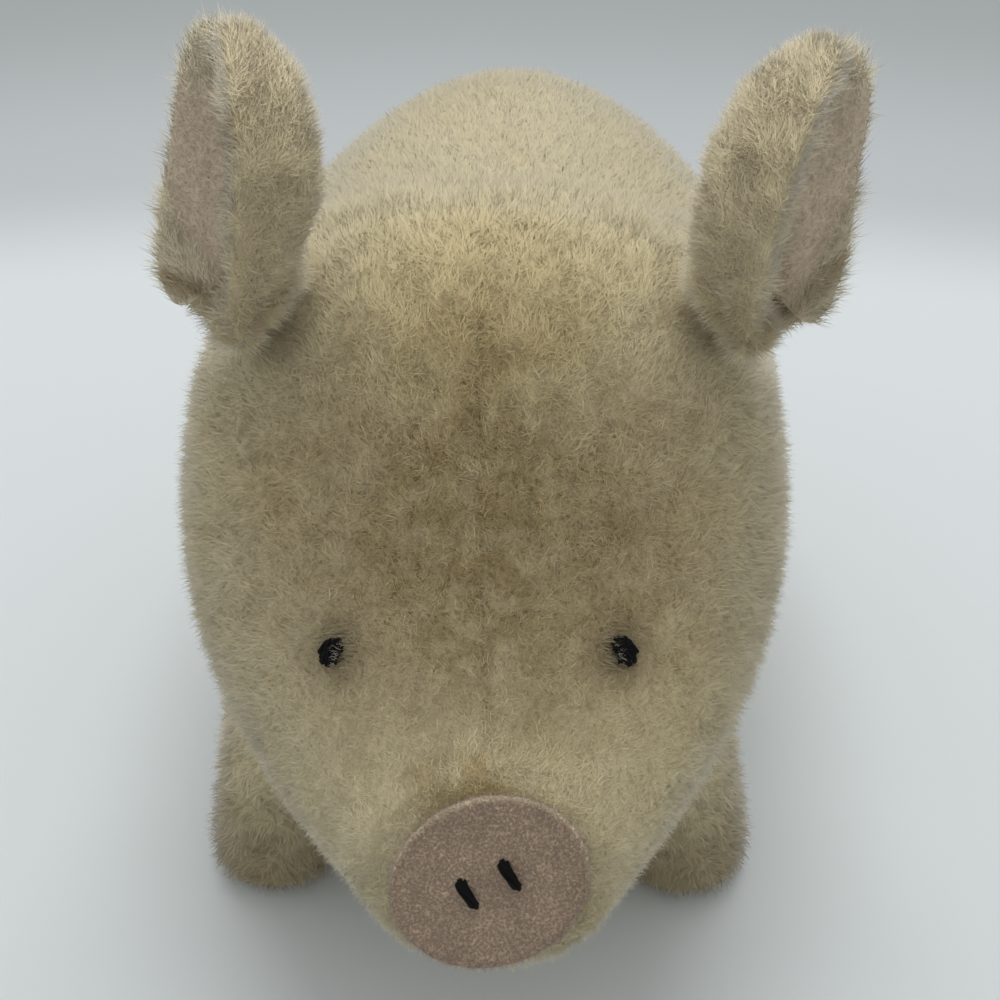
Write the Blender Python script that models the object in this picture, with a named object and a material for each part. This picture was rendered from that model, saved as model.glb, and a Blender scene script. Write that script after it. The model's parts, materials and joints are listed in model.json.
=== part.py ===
# A plush pig: plush covers sewn over stuffing, folded ears, a felt snout disc and a stitched face.
# Lengths are metres and angles are degrees. The pig faces -Y, its left side is +X, up is +Z.
# Along the pig, places are measured from the widest line across its shoulders.

import bpy
import bmesh
import math
from mathutils import Matrix, Vector

# Body
body_length = 0.118
body_width = 0.087
body_height = 0.073
belly_height = 0.023
body_front = -0.012
gusset_half_angle = 42.0

# Head, from its rounded back to the flat end of the snout
head_length = 0.0845
head_width = 0.0835
head_height = 0.083
head_back = 0.030
head_turn = 0.004
head_turn_power = 4.0
chin_half_angle = 38.0

# Cloth and seams
pile_thickness = 0.0036
seam_gap = 0.0003
felt_thickness = 0.0012
lining_thickness = 0.0012
thread_diameter = 0.0008

# Legs
leg_height = 0.046
leg_width = 0.0205
leg_depth = 0.0225
leg_squareness = 2.3
left_leg_spread = 0.0305
right_leg_spread = 0.0315
leg_lean_in = 0.0075
front_left_leg_place = -0.0090
front_right_leg_place = -0.0115
rear_leg_place = 0.071
sole_thickness = 0.0020
cover_lift = 0.0005

# Ears, as the folded leaf stands on the head
ear_reach = 0.0138
ear_depth = 0.0078
ear_height = 0.0325
ear_fold_radius = 0.0050
ear_root_radius = 0.0036
ear_root_length = 0.0155
ear_pile = 0.0030
ear_root_part = 0.0042
left_ear_place_share = 0.425
left_ear_angle = 41.0
left_ear_turn = 18.0
left_ear_lean = 7.5
right_ear_place_share = 0.445
right_ear_angle = 36.5
right_ear_turn = 25.0
right_ear_lean = 7.5

# Face
disc_width = 0.0256
disc_height = 0.0216
disc_roll = 27.0
disc_bevel = 0.0003
nostril_spacing = 0.0058
nostril_length = 0.0042
nostril_slant = 6.0
eye_place_share = 0.665
left_eye_angle = 38.5
right_eye_angle = 43.5
eye_width = 0.0025
eye_length = 0.0040
eye_depth = 0.0018
eye_standout = 0.0005

# Tail
tail_root_diameter = 0.0050
tail_tip_diameter = 0.0026
tail_curl_diameter = 0.0100
tail_reach = 0.0140
tail_turns = 1.2
tail_wind_power = 1.5
tail_narrowing_share = 0.33
tail_along_share = 0.975
tail_angle = 12.0

# Colours
cream_colour = (0.70, 0.62, 0.43)
sole_colour = (0.60, 0.50, 0.32)
stuffing_colour = (0.86, 0.82, 0.72)
lining_colour = (0.68, 0.52, 0.45)
felt_colour = (0.55, 0.38, 0.33)
thread_colour = (0.02, 0.02, 0.02)
cloth_roughness = 0.95
thread_roughness = 0.6

# Each body section: along, half width, top, middle, bottom and the squareness of the top half
body_section_shares = [
    (0.000, 0.035, 0.473, 0.452, 0.431, 2.0),
    (0.021, 0.42, 0.658, 0.452, 0.247, 2.0),
    (0.076, 0.69, 0.795, 0.460, 0.120, 2.0),
    (0.170, 0.91, 0.918, 0.480, 0.030, 1.9),
    (0.305, 1.00, 0.975, 0.500, 0.000, 1.8),
    (0.475, 1.00, 0.985, 0.500, 0.000, 1.7),
    (0.644, 0.95, 1.000, 0.500, 0.010, 1.7),
    (0.797, 0.80, 0.950, 0.500, 0.060, 1.7),
    (0.915, 0.56, 0.820, 0.510, 0.190, 1.8),
    (0.979, 0.30, 0.670, 0.520, 0.360, 2.0),
    (1.000, 0.035, 0.541, 0.520, 0.499, 2.0),
]

# Each head section: the same, then the share of the pile's thickness and of the snout's tilt
head_section_shares = [
    (0.000, 0.05, 0.645, 0.614, 0.584, 2.0, 1.0, 0.0),
    (0.024, 0.45, 0.831, 0.614, 0.373, 2.0, 1.0, 0.0),
    (0.107, 0.76, 0.934, 0.570, 0.180, 2.3, 1.0, 0.0),
    (0.249, 0.95, 0.995, 0.520, 0.050, 2.6, 1.0, 0.0),
    (0.426, 1.00, 1.000, 0.460, 0.000, 2.5, 1.0, 0.0),
    (0.592, 0.935, 0.885, 0.400, 0.000, 2.3, 1.0, 0.1),
    (0.746, 0.78, 0.675, 0.325, 0.010, 2.2, 0.9, 0.25),
    (0.876, 0.58, 0.480, 0.270, 0.040, 2.1, 0.7, 0.6),
    (0.955, 0.43, 0.392, 0.225, 0.062, 2.0, 0.45, 0.95),
    (0.988, 0.365, 0.370, 0.217, 0.064, 2.0, 0.33, 1.0),
    (1.000, 0.23, 0.314, 0.217, 0.120, 2.0, 0.28, 1.0),
]
snout_tilt = 25.0
snout_end_share = 0.14
body_end_shares = (0.0, 1.0)
head_end_shares = (0.012, 1.0)

# Each leg section: height, lean inwards, half width and half depth
leg_section_shares = [
    (0.00, 0.00, 0.88, 0.88),
    (0.03, 0.00, 0.97, 0.97),
    (0.10, 0.02, 1.00, 1.00),
    (0.35, 0.25, 0.98, 1.00),
    (0.65, 0.60, 0.98, 1.02),
    (1.00, 1.00, 0.94, 1.00),
]

# Each ear section above the root: the front edge, the fold and the rear edge, as outwards,
# backwards and upwards
ear_section_shares = [
    ((0.26, -0.56, -0.02), (-0.30, 0.00, 0.32), (0.81, 0.41, -0.11)),
    ((0.22, -0.74, 0.22), (-0.32, 0.00, 0.46), (0.97, 0.70, 0.11)),
    ((0.23, -0.74, 0.49), (-0.28, 0.12, 0.61), (0.93, 0.94, 0.38)),
    ((0.29, -0.50, 0.73), (-0.17, 0.29, 0.76), (0.88, 1.00, 0.62)),
    ((0.42, -0.02, 0.90), (0.00, 0.59, 0.90), (0.84, 1.00, 0.83)),
    ((0.52, 0.57, 0.99), (0.41, 0.82, 1.00), (0.69, 0.94, 0.96)),
]
lining_start_share = 0.13
ear_bend_share = 0.33
ear_pile_shares = [0.55, 0.9, 1.0, 1.0, 0.95, 0.8, 0.55]

# Steps for measuring slopes, and the angle above which an edge is shown sharp
share_step = 0.002
turn_step = 0.01
leaf_step = 0.02
smooth_angle = 40.0

# Mesh counts
body_rings = 17
head_rings = 15
side_columns = 9
gusset_columns = 6
snout_samples = 24
leg_rings = 7
leg_sides = 14
ear_rows = 10
ear_columns = 10
thread_sides = 8
thread_end_rings = 3
eye_levels = 8
eye_sides = 12
root_sides = 12
root_end_rings = 3
disc_sides = 32
tail_steps = 28
tail_sides = 10


def clear_scene():
    for old in list(bpy.data.objects):
        bpy.data.objects.remove(old, do_unlink=True)


def new_material(name, colour, roughness):
    material = bpy.data.materials.new(name)
    material.use_nodes = True
    shader = material.node_tree.nodes["Principled BSDF"]
    shader.inputs["Base Color"].default_value = (*colour, 1.0)
    shader.inputs["Roughness"].default_value = roughness
    shader.inputs["Metallic"].default_value = 0.0
    material.diffuse_color = (*colour, 1.0)
    return material


def smooth_row(rows, share):
    """Read a row of numbers from a smooth curve through the hand-chosen rows."""
    last = len(rows) - 1
    place = min(max(share, 0.0), 1.0) * last
    index = min(int(place), last - 1)
    t = place - index
    before = rows[max(index - 1, 0)]
    here = rows[index]
    there = rows[index + 1]
    after = rows[min(index + 2, last)]
    row = []
    for p0, p1, p2, p3 in zip(before, here, there, after):
        slope_here = (p2 - p0) / 2.0
        slope_there = (p3 - p1) / 2.0
        t2 = t * t
        t3 = t2 * t
        value = p1 * (2 * t3 - 3 * t2 + 1) + slope_here * (t3 - 2 * t2 + t)
        row.append(value + p2 * (3 * t2 - 2 * t3) + slope_there * (t3 - t2))
    return row


def oval(angle, squareness):
    """Unit outline at an angle from the top: a circle at 2, boxier above it, ridged below it."""
    s = math.sin(angle)
    c = math.cos(angle)
    radius = (abs(s) ** squareness + abs(c) ** squareness) ** (-1.0 / squareness)
    return s * radius, c * radius


def body_point(share, angle):
    along, half, top, middle, bottom, squareness = smooth_row(body_section_shares, share)
    top_half = math.cos(angle) > 0.0
    across, upwards = oval(angle, squareness if top_half else 2.0)
    rise = (top - middle) if top_half else (middle - bottom)
    x = across * half * body_width / 2
    z = belly_height + (middle + upwards * rise) * body_height
    return Vector((x, body_front + along * body_length, z))


def head_point(share, angle):
    row = smooth_row(head_section_shares, share)
    along, half, top, middle, bottom, squareness, pile, tilt = row
    top_half = math.cos(angle) > 0.0
    across, upwards = oval(angle, squareness if top_half else 2.0)
    rise = ((top - middle) if top_half else (middle - bottom)) * upwards * head_height
    lean = math.radians(snout_tilt) * tilt
    x = across * half * head_width / 2 + head_turn * along ** head_turn_power
    y = head_back - along * head_length + rise * math.sin(lean)
    z = belly_height + middle * head_height + rise * math.cos(lean)
    return Vector((x, y, z))


def head_pile_share(share):
    return smooth_row(head_section_shares, share)[6]


def no_thinning(share):
    return 1.0


class Form:
    """A swelling closed form given by a point for each share of its length and angle from its top."""

    def __init__(self, point, forwards, pile_share, rings, ends, gusset_angle):
        self.point = point
        self.forwards = forwards
        self.pile_share = pile_share
        self.rings = rings
        self.ends = ends
        self.gusset = math.radians(gusset_angle)

    def normal(self, share, angle):
        low = max(share - share_step, 0.0)
        high = min(share + share_step, 1.0)
        run = self.point(high, angle) - self.point(low, angle)
        around = self.point(share, angle + turn_step) - self.point(share, angle - turn_step)
        return around.cross(run).normalized() * self.forwards

    def surface(self, share, angle, cloth, gap):
        """A point that lies a thickness of cloth and a gap below the outside."""
        depth = cloth * self.pile_share(share) + gap
        return self.point(share, angle) - self.normal(share, angle) * depth

    def seam_shift(self, share, angle):
        """Turn that moves a seam's edge by half the gap."""
        step = (self.point(share, angle + turn_step) - self.point(share, angle)).length
        return seam_gap / 2 * turn_step / step


body_form = Form(body_point, 1.0, no_thinning, body_rings, body_end_shares, gusset_half_angle)
head_form = Form(head_point, -1.0, head_pile_share, head_rings, head_end_shares, chin_half_angle)


def ring_shares(form):
    start, end = form.ends
    return [start + (end - start) * index / (form.rings - 1) for index in range(form.rings)]


def ring_turns(form):
    """Angles once round a form, at the same places as the columns of its panels."""
    low = math.pi - form.gusset
    left = [low * index / side_columns for index in range(side_columns)]
    below = [low + 2 * form.gusset * index / gusset_columns for index in range(gusset_columns)]
    right = [low * index / side_columns - low for index in range(side_columns)]
    return left + below + right


def object_from_bmesh(name, mesh_data, material, parent):
    bmesh.ops.recalc_face_normals(mesh_data, faces=mesh_data.faces)
    mesh = bpy.data.meshes.new(name)
    mesh_data.to_mesh(mesh)
    mesh_data.free()
    mesh.materials.append(material)
    mesh.shade_smooth()
    mesh.set_sharp_from_angle(angle=math.radians(smooth_angle))
    piece = bpy.data.objects.new(name, mesh)
    bpy.context.scene.collection.objects.link(piece)
    piece.parent = parent
    return piece


def add_loop(mesh_data, points, closed):
    verts = [mesh_data.verts.new(point) for point in points]
    for pair in zip(verts, verts[1:]):
        mesh_data.edges.new(pair)
    if closed:
        mesh_data.edges.new((verts[-1], verts[0]))
    return verts


def join_loops(mesh_data, first, second, closed):
    count = len(first)
    for index in range(count if closed else count - 1):
        after = (index + 1) % count
        mesh_data.faces.new((first[index], first[after], second[after], second[index]))


def lofted(name, rings, material, parent):
    """A closed solid through a stack of closed rings, with a face across each end."""
    mesh_data = bmesh.new()
    loops = [add_loop(mesh_data, ring, True) for ring in rings]
    for first, second in zip(loops, loops[1:]):
        join_loops(mesh_data, first, second, True)
    mesh_data.faces.new(loops[0])
    mesh_data.faces.new(list(reversed(loops[-1])))
    return object_from_bmesh(name, mesh_data, material, parent)


def shell(name, outer_rows, inner_rows, material, parent, closed=False):
    """A closed skin between an outer and an inner grid of points, with walls along its rims."""
    mesh_data = bmesh.new()
    outer = [add_loop(mesh_data, row, closed) for row in outer_rows]
    inner = [add_loop(mesh_data, row, closed) for row in inner_rows]
    for grid in (outer, inner):
        for first, second in zip(grid, grid[1:]):
            join_loops(mesh_data, first, second, closed)
    join_loops(mesh_data, outer[0], inner[0], closed)
    join_loops(mesh_data, outer[-1], inner[-1], closed)
    if not closed:
        for side in (0, -1):
            outer_side = [row[side] for row in outer]
            inner_side = [row[side] for row in inner]
            join_loops(mesh_data, outer_side, inner_side, False)
    return object_from_bmesh(name, mesh_data, material, parent)


def cut(piece, cutter):
    """Take a cutter's shape out of a piece and keep the result in the piece's own mesh."""
    modifier = piece.modifiers.new("Cut", "BOOLEAN")
    modifier.operation = "DIFFERENCE"
    modifier.solver = "EXACT"
    modifier.object = cutter
    return modifier


def as_guide(piece):
    piece.hide_render = True
    piece.display_type = "WIRE"
    return piece


def filled_form(name, form, cloth, gap, material, parent):
    rings = []
    for share in ring_shares(form):
        rings.append([form.surface(share, turn, cloth, gap) for turn in ring_turns(form)])
    return lofted(name, rings, material, parent)


def panel(name, form, start_angle, end_angle, columns, material, parent):
    """One cut piece of cloth on a form, between two seams."""
    outer_rows = []
    inner_rows = []
    for share in ring_shares(form):
        start = start_angle + form.seam_shift(share, start_angle)
        end = end_angle - form.seam_shift(share, end_angle)
        turns = [start + (end - start) * index / columns for index in range(columns + 1)]
        outer_rows.append([form.surface(share, turn, 0.0, 0.0) for turn in turns])
        inner_rows.append([form.surface(share, turn, pile_thickness, 0.0) for turn in turns])
    return shell(name, outer_rows, inner_rows, material, parent)


def stuffed_form(prefix, gusset_name, form, plush, stuffing, parent):
    """Two side panels meeting on the centre line, a gusset below, and the stuffing inside."""
    low = math.pi - form.gusset
    far = math.pi + form.gusset
    left = panel(prefix + "_left_panel", form, 0.0, low, side_columns, plush, parent)
    right = panel(prefix + "_right_panel", form, -low, 0.0, side_columns, plush, parent)
    below = panel(gusset_name, form, low, far, gusset_columns, plush, parent)
    inside = prefix + "_stuffing"
    filling = filled_form(inside, form, pile_thickness, seam_gap, stuffing, parent)
    return [left, right, below, filling]


def leg_ring(share, foot, inset, low, high):
    """An oval round a leg whose foot stands at a place, between a low and a high end."""
    lift, lean, half_width, half_depth = smooth_row(leg_section_shares, share)
    centre_x = foot[0] - math.copysign(lean * leg_lean_in, foot[0])
    ring = []
    for index in range(leg_sides):
        across, back = oval(2 * math.pi * index / leg_sides, leg_squareness)
        x = centre_x + across * (half_width * leg_width / 2 - inset)
        y = foot[1] + back * (half_depth * leg_depth / 2 - inset)
        ring.append(Vector((x, y, low + lift * (high - low))))
    return ring


def make_leg(name, foot, plush, sole_cloth, stuffing, cutters, parent):
    """A cover tube with its stuffing, closed by an oval sole that the pig stands on."""
    shares = [index / (leg_rings - 1) for index in range(leg_rings)]
    inset = pile_thickness + seam_gap
    core_low = sole_thickness + seam_gap
    outer_rows = [leg_ring(share, foot, 0.0, cover_lift, leg_height) for share in shares]
    inner_rows = [leg_ring(share, foot, pile_thickness, cover_lift, leg_height) for share in shares]
    core_rings = [leg_ring(share, foot, inset, core_low, leg_height) for share in shares]
    sole_rings = [leg_ring(0.0, foot, inset, height, leg_height) for height in (0.0, sole_thickness)]
    cover = shell(name + "_cover", outer_rows, inner_rows, plush, parent, closed=True)
    core = lofted(name + "_stuffing", core_rings, stuffing, parent)
    lofted(name + "_sole", sole_rings, sole_cloth, parent)
    for cutter in cutters:
        cut(cover, cutter)
        cut(core, cutter)


def fold_weight(across):
    """Smooth ramp from the fold out to an edge, so that the fold stays round."""
    softness = ear_fold_radius / ear_reach
    bend = math.sqrt(across * across + softness * softness * (1.0 - across * across))
    return (across + bend) / 2.0 - softness / 2.0 * (1.0 - across * across)


def ear_sections(side, root_way, root_across):
    """The three edges of the leaf at its root, along the sewn line, and at each section above."""
    half = (ear_root_length - ear_root_radius) / 2
    apart = root_across * ear_root_part / 2
    sections = [(root_way * half - apart, root_way * -half, root_way * half + apart)]
    for section in ear_section_shares:
        edges = []
        for outwards, backwards, upwards in section:
            place = (side * outwards * ear_reach, backwards * ear_depth, upwards * ear_height)
            edges.append(Vector(place))
        sections.append(tuple(edges))
    return sections


def ear_point(sections, share, across):
    front, fold, rear = [
        Vector(smooth_row([section[edge] for section in sections], share)) for edge in range(3)]
    return fold + (front - fold) * fold_weight(-across) + (rear - fold) * fold_weight(across)


def ear_normal(sections, share, across, side):
    """Points out of the ear's plush back, away from its lining."""
    low = max(share - leaf_step, 0.0)
    high = min(share + leaf_step, 1.0)
    up = ear_point(sections, high, across) - ear_point(sections, low, across)
    left = max(across - leaf_step, -1.0)
    right = min(across + leaf_step, 1.0)
    over = ear_point(sections, share, right) - ear_point(sections, share, left)
    return up.cross(over).normalized() * side


def ear_grid(sections, side, lean, offset, thickness, start):
    """Two layers of points, the first offset from the leaf and the second a thickness beyond."""
    tip_over = Matrix.Rotation(math.radians(lean), 3, "Y")
    near_rows = []
    far_rows = []
    for row in range(ear_rows + 1):
        share = start + (1.0 - start) * row / ear_rows
        pile_share = smooth_row([(value,) for value in ear_pile_shares], share)[0]
        swing = Matrix.Identity(3).lerp(tip_over, min(share / ear_bend_share, 1.0))
        near_row = []
        far_row = []
        for column in range(ear_columns + 1):
            across = -1.0 + 2.0 * column / ear_columns
            point = ear_point(sections, share, across)
            normal = ear_normal(sections, share, across, side)
            near_row.append(swing @ (point + normal * offset))
            far_row.append(swing @ (point + normal * (offset + thickness * pile_share)))
        near_rows.append(near_row)
        far_rows.append(far_row)
    return near_rows, far_rows


def capsule_rings(radius, length, sides, end_rings):
    """Rings of a round-ended rod along +Z, centred on the origin."""
    half = length / 2 - radius
    places = []
    for index in range(1, end_rings + 1):
        turn = math.pi / 2 * index / end_rings
        places.append((-half - radius * math.cos(turn), radius * math.sin(turn)))
    for index in range(end_rings, 0, -1):
        turn = math.pi / 2 * index / end_rings
        places.append((half + radius * math.cos(turn), radius * math.sin(turn)))
    rings = []
    for place, reach in places:
        turns = [2 * math.pi * index / sides for index in range(sides)]
        rings.append([Vector((reach * math.cos(t), reach * math.sin(t), place)) for t in turns])
    return rings


def head_frame(share, angle):
    """A point on the head with the outward normal and the direction around the head there."""
    normal = head_form.normal(share, angle)
    around = head_point(share, angle + turn_step) - head_point(share, angle - turn_step)
    return head_point(share, angle), normal, around.normalized()


def make_ear(prefix, side, place_share, angle, turn, lean, plush, lining_cloth, parent):
    """A leaf folded lengthwise, sewn down along a rolled root that it can swing about."""
    seat, normal, around = head_frame(place_share, side * math.radians(angle))
    hinge = bpy.data.objects.new(prefix + "_hinge", None)
    bpy.context.scene.collection.objects.link(hinge)
    hinge.parent = parent
    hinge.location = seat + normal * (ear_root_radius + seam_gap)
    down = around if around.z < 0.0 else -around
    root_way = Matrix.Rotation(-side * math.radians(turn), 3, normal) @ down
    root_across = Vector((0.0, 1.0, 0.0)) - root_way * root_way.y
    root_across = (root_across - normal * root_across.dot(normal)).normalized()
    root_turn = Vector((0.0, 0.0, 1.0)).rotation_difference(root_way).to_matrix()
    print(prefix, "axis", [round(value, 4) for value in root_way])

    sections = ear_sections(side, root_way, root_across)
    back_rows, pile_rows = ear_grid(sections, side, lean, seam_gap / 2, ear_pile, 0.0)
    back = shell(prefix + "_back", pile_rows, back_rows, plush, hinge)
    root_rings = capsule_rings(ear_root_radius, ear_root_length, root_sides, root_end_rings)
    root_rings = [[root_turn @ point for point in ring] for ring in root_rings]
    root = as_guide(lofted(prefix + "_root_guide", root_rings, plush, hinge))
    cut(back, root).operation = "UNION"

    lining_rows, face_rows = ear_grid(
        sections, side, lean, -seam_gap / 2, -lining_thickness, lining_start_share)
    lining = shell(prefix + "_lining", lining_rows, face_rows, lining_cloth, hinge)
    clear_radius = ear_root_radius + seam_gap
    clear_length = ear_root_length + 2 * seam_gap
    clear_rings = capsule_rings(clear_radius, clear_length, root_sides, root_end_rings)
    clear_rings = [[root_turn @ point for point in ring] for ring in clear_rings]
    clear = as_guide(lofted(prefix + "_clear_guide", clear_rings, plush, hinge))
    cut(lining, clear)


def snout_frame():
    """Middle of the snout's end, at its furthest rim, with its right, up and outward directions."""
    centre = (head_point(1.0, math.pi / 2) + head_point(1.0, -math.pi / 2)) / 2
    lean = math.radians(snout_tilt)
    out = Vector((0.0, -math.cos(lean), math.sin(lean)))
    up = Vector((0.0, math.sin(lean), math.cos(lean)))
    reach = 0.0
    for turn in range(snout_samples):
        for step in range(snout_samples):
            share = 1.0 - snout_end_share * step / snout_samples
            rim = head_point(share, 2 * math.pi * turn / snout_samples)
            reach = max(reach, (rim - centre).dot(out))
    return centre + out * reach, Vector((1.0, 0.0, 0.0)), up, out


def make_disc(felt, parent):
    centre, right, up, out = snout_frame()
    roll = math.radians(disc_roll)
    levels = [
        (seam_gap, disc_bevel),
        (seam_gap + disc_bevel, 0.0),
        (seam_gap + felt_thickness - disc_bevel, 0.0),
        (seam_gap + felt_thickness, disc_bevel),
    ]
    rings = []
    for height, inset in levels:
        ring = []
        for index in range(disc_sides):
            turn = 2 * math.pi * index / disc_sides
            wide = math.cos(turn) * (disc_width / 2 - inset)
            tall = math.sin(turn) * (disc_height / 2 - inset)
            across = wide * math.cos(roll) - tall * math.sin(roll)
            upwards = wide * math.sin(roll) + tall * math.cos(roll)
            ring.append(centre + right * across + up * upwards + out * height)
        rings.append(ring)
    lofted("snout_disc", rings, felt, parent)


def make_nostril(name, side, thread, parent):
    """One straight stitch that lies on the felt."""
    centre, right, up, out = snout_frame()
    roll = math.radians(disc_roll)
    along = right * math.cos(roll) + up * math.sin(roll)
    lean = roll + math.radians(nostril_slant)
    stitch = up * math.cos(lean) - right * math.sin(lean)
    lift = seam_gap + felt_thickness + seam_gap + thread_diameter / 2
    place = centre + along * (side * nostril_spacing / 2) + out * lift
    turn = Vector((0.0, 0.0, 1.0)).rotation_difference(stitch).to_matrix()
    rings = capsule_rings(thread_diameter / 2, nostril_length, thread_sides, thread_end_rings)
    rings = [[place + turn @ point for point in ring] for ring in rings]
    lofted(name, rings, thread, parent)


def eye_rings(side, growth):
    angle = left_eye_angle if side > 0.0 else right_eye_angle
    seat, normal, around = head_frame(eye_place_share, side * math.radians(angle))
    place = seat + normal * (eye_standout - eye_depth / 2)
    length_way = Vector((0.0, 0.0, 1.0)) - normal * normal.z
    length_way.normalize()
    width_way = length_way.cross(normal)
    rings = []
    for level in range(1, eye_levels):
        tilt = math.pi * level / eye_levels
        ring = []
        for index in range(eye_sides):
            turn = 2 * math.pi * index / eye_sides
            wide = math.sin(tilt) * math.cos(turn) * (eye_width / 2 + growth)
            deep = math.sin(tilt) * math.sin(turn) * (eye_depth / 2 + growth)
            tall = math.cos(tilt) * (eye_length / 2 + growth)
            ring.append(place + width_way * wide + normal * deep + length_way * tall)
        rings.append(ring)
    return rings


def make_eye(name, side, thread, cloth_panel, parent):
    """A lump of a few stitches, sunk in a hollow of the plush."""
    seat = as_guide(lofted(name + "_seat_guide", eye_rings(side, seam_gap), thread, parent))
    cut(cloth_panel, seat)
    lofted(name, eye_rings(side, 0.0), thread, parent)


def make_tail(plush, parent):
    """A short tail with a round root, that winds once round and grows thinner to its end."""
    seat = body_point(tail_along_share, math.radians(tail_angle))
    normal = body_form.normal(tail_along_share, math.radians(tail_angle))
    seat.x = 0.0
    normal = Vector((0.0, normal.y, normal.z)).normalized()
    root_radius = tail_root_diameter / 2
    tip_radius = tail_tip_diameter / 2
    hinge = bpy.data.objects.new("tail_hinge", None)
    bpy.context.scene.collection.objects.link(hinge)
    hinge.parent = parent
    hinge.location = seat + normal * (root_radius + seam_gap)

    path = []
    radii = []
    for index in range(1, root_end_rings):
        turn = math.pi / 2 * index / root_end_rings
        path.append(Vector((0.0, -root_radius * math.cos(turn), 0.0)))
        radii.append(root_radius * math.sin(turn))
    for step in range(tail_steps + 1):
        share = step / tail_steps
        turn = 2 * math.pi * tail_turns * share ** tail_wind_power
        winding = tail_curl_diameter / 2 * (1.0 - tail_narrowing_share * share)
        across = math.sin(turn) * winding
        upwards = (1.0 - math.cos(turn)) * winding
        path.append(Vector((across, tail_reach * share, upwards)))
        radii.append(root_radius + (tip_radius - root_radius) * share)
    rings = []
    last = len(path) - 1
    for step, (point, radius) in enumerate(zip(path, radii)):
        forwards = path[min(step + 1, last)] - path[max(step - 1, 0)]
        turn = Vector((0.0, 1.0, 0.0)).rotation_difference(forwards).to_matrix()
        ring = []
        for index in range(tail_sides):
            angle = 2 * math.pi * index / tail_sides
            ring.append(point + turn @ Vector((math.cos(angle), 0.0, math.sin(angle))) * radius)
        rings.append(ring)
    lofted("tail", rings, plush, hinge)


def stand_on_origin(root):
    """Move the whole pig so that the middle of its underside is at the origin."""
    bpy.context.view_layer.update()
    graph = bpy.context.evaluated_depsgraph_get()
    corners = []
    for piece in bpy.data.objects:
        if piece.type == "MESH" and not piece.hide_render:
            shown = piece.evaluated_get(graph)
            mesh = shown.to_mesh()
            corners += [piece.matrix_world @ vert.co for vert in mesh.vertices]
            shown.to_mesh_clear()
    low = [min(corner[axis] for corner in corners) for axis in range(3)]
    high = [max(corner[axis] for corner in corners) for axis in range(3)]
    root.location = (-(low[0] + high[0]) / 2, -(low[1] + high[1]) / 2, -low[2])
    bpy.context.view_layer.update()
    print("overall size", [round(b - a, 4) for a, b in zip(low, high)])


def main():
    clear_scene()
    cream = new_material("cream_plush", cream_colour, cloth_roughness)
    sole_cloth = new_material("sole_cloth", sole_colour, cloth_roughness)
    stuffing = new_material("stuffing", stuffing_colour, cloth_roughness)
    pink = new_material("pink_lining", lining_colour, cloth_roughness)
    felt = new_material("felt", felt_colour, cloth_roughness)
    thread = new_material("black_thread", thread_colour, thread_roughness)

    pig = bpy.data.objects.new("pig", None)
    bpy.context.scene.collection.objects.link(pig)

    stuffed_form("body", "belly_panel", body_form, cream, stuffing, pig)
    head = stuffed_form("head", "chin_panel", head_form, cream, stuffing, pig)
    body_guide = as_guide(filled_form("body_guide", body_form, 0.0, -seam_gap, stuffing, pig))
    head_guide = as_guide(filled_form("head_guide", head_form, 0.0, -seam_gap, stuffing, pig))
    for piece in head:
        cut(piece, body_guide)

    feet = [
        ("front_left_leg", (left_leg_spread, front_left_leg_place), [body_guide, head_guide]),
        ("front_right_leg", (-right_leg_spread, front_right_leg_place), [body_guide, head_guide]),
        ("rear_left_leg", (left_leg_spread, rear_leg_place), [body_guide]),
        ("rear_right_leg", (-right_leg_spread, rear_leg_place), [body_guide]),
    ]
    for name, foot, cutters in feet:
        make_leg(name, foot, cream, sole_cloth, stuffing, cutters, pig)

    make_ear("left_ear", 1.0, left_ear_place_share, left_ear_angle, left_ear_turn,
             left_ear_lean, cream, pink, pig)
    make_ear("right_ear", -1.0, right_ear_place_share, right_ear_angle, right_ear_turn,
             right_ear_lean, cream, pink, pig)
    make_disc(felt, pig)
    make_nostril("left_nostril", 1.0, thread, pig)
    make_nostril("right_nostril", -1.0, thread, pig)
    make_eye("left_eye", 1.0, thread, head[0], pig)
    make_eye("right_eye", -1.0, thread, head[1], pig)
    make_tail(cream, pig)
    stand_on_origin(pig)


main()
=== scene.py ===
# Looks for a plush pig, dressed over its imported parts. Metres; it faces -Y and its own left is +X.
import bpy
import bmesh
import json
import math
from mathutils import Matrix, Vector
from mathutils.bvhtree import BVHTree

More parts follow.
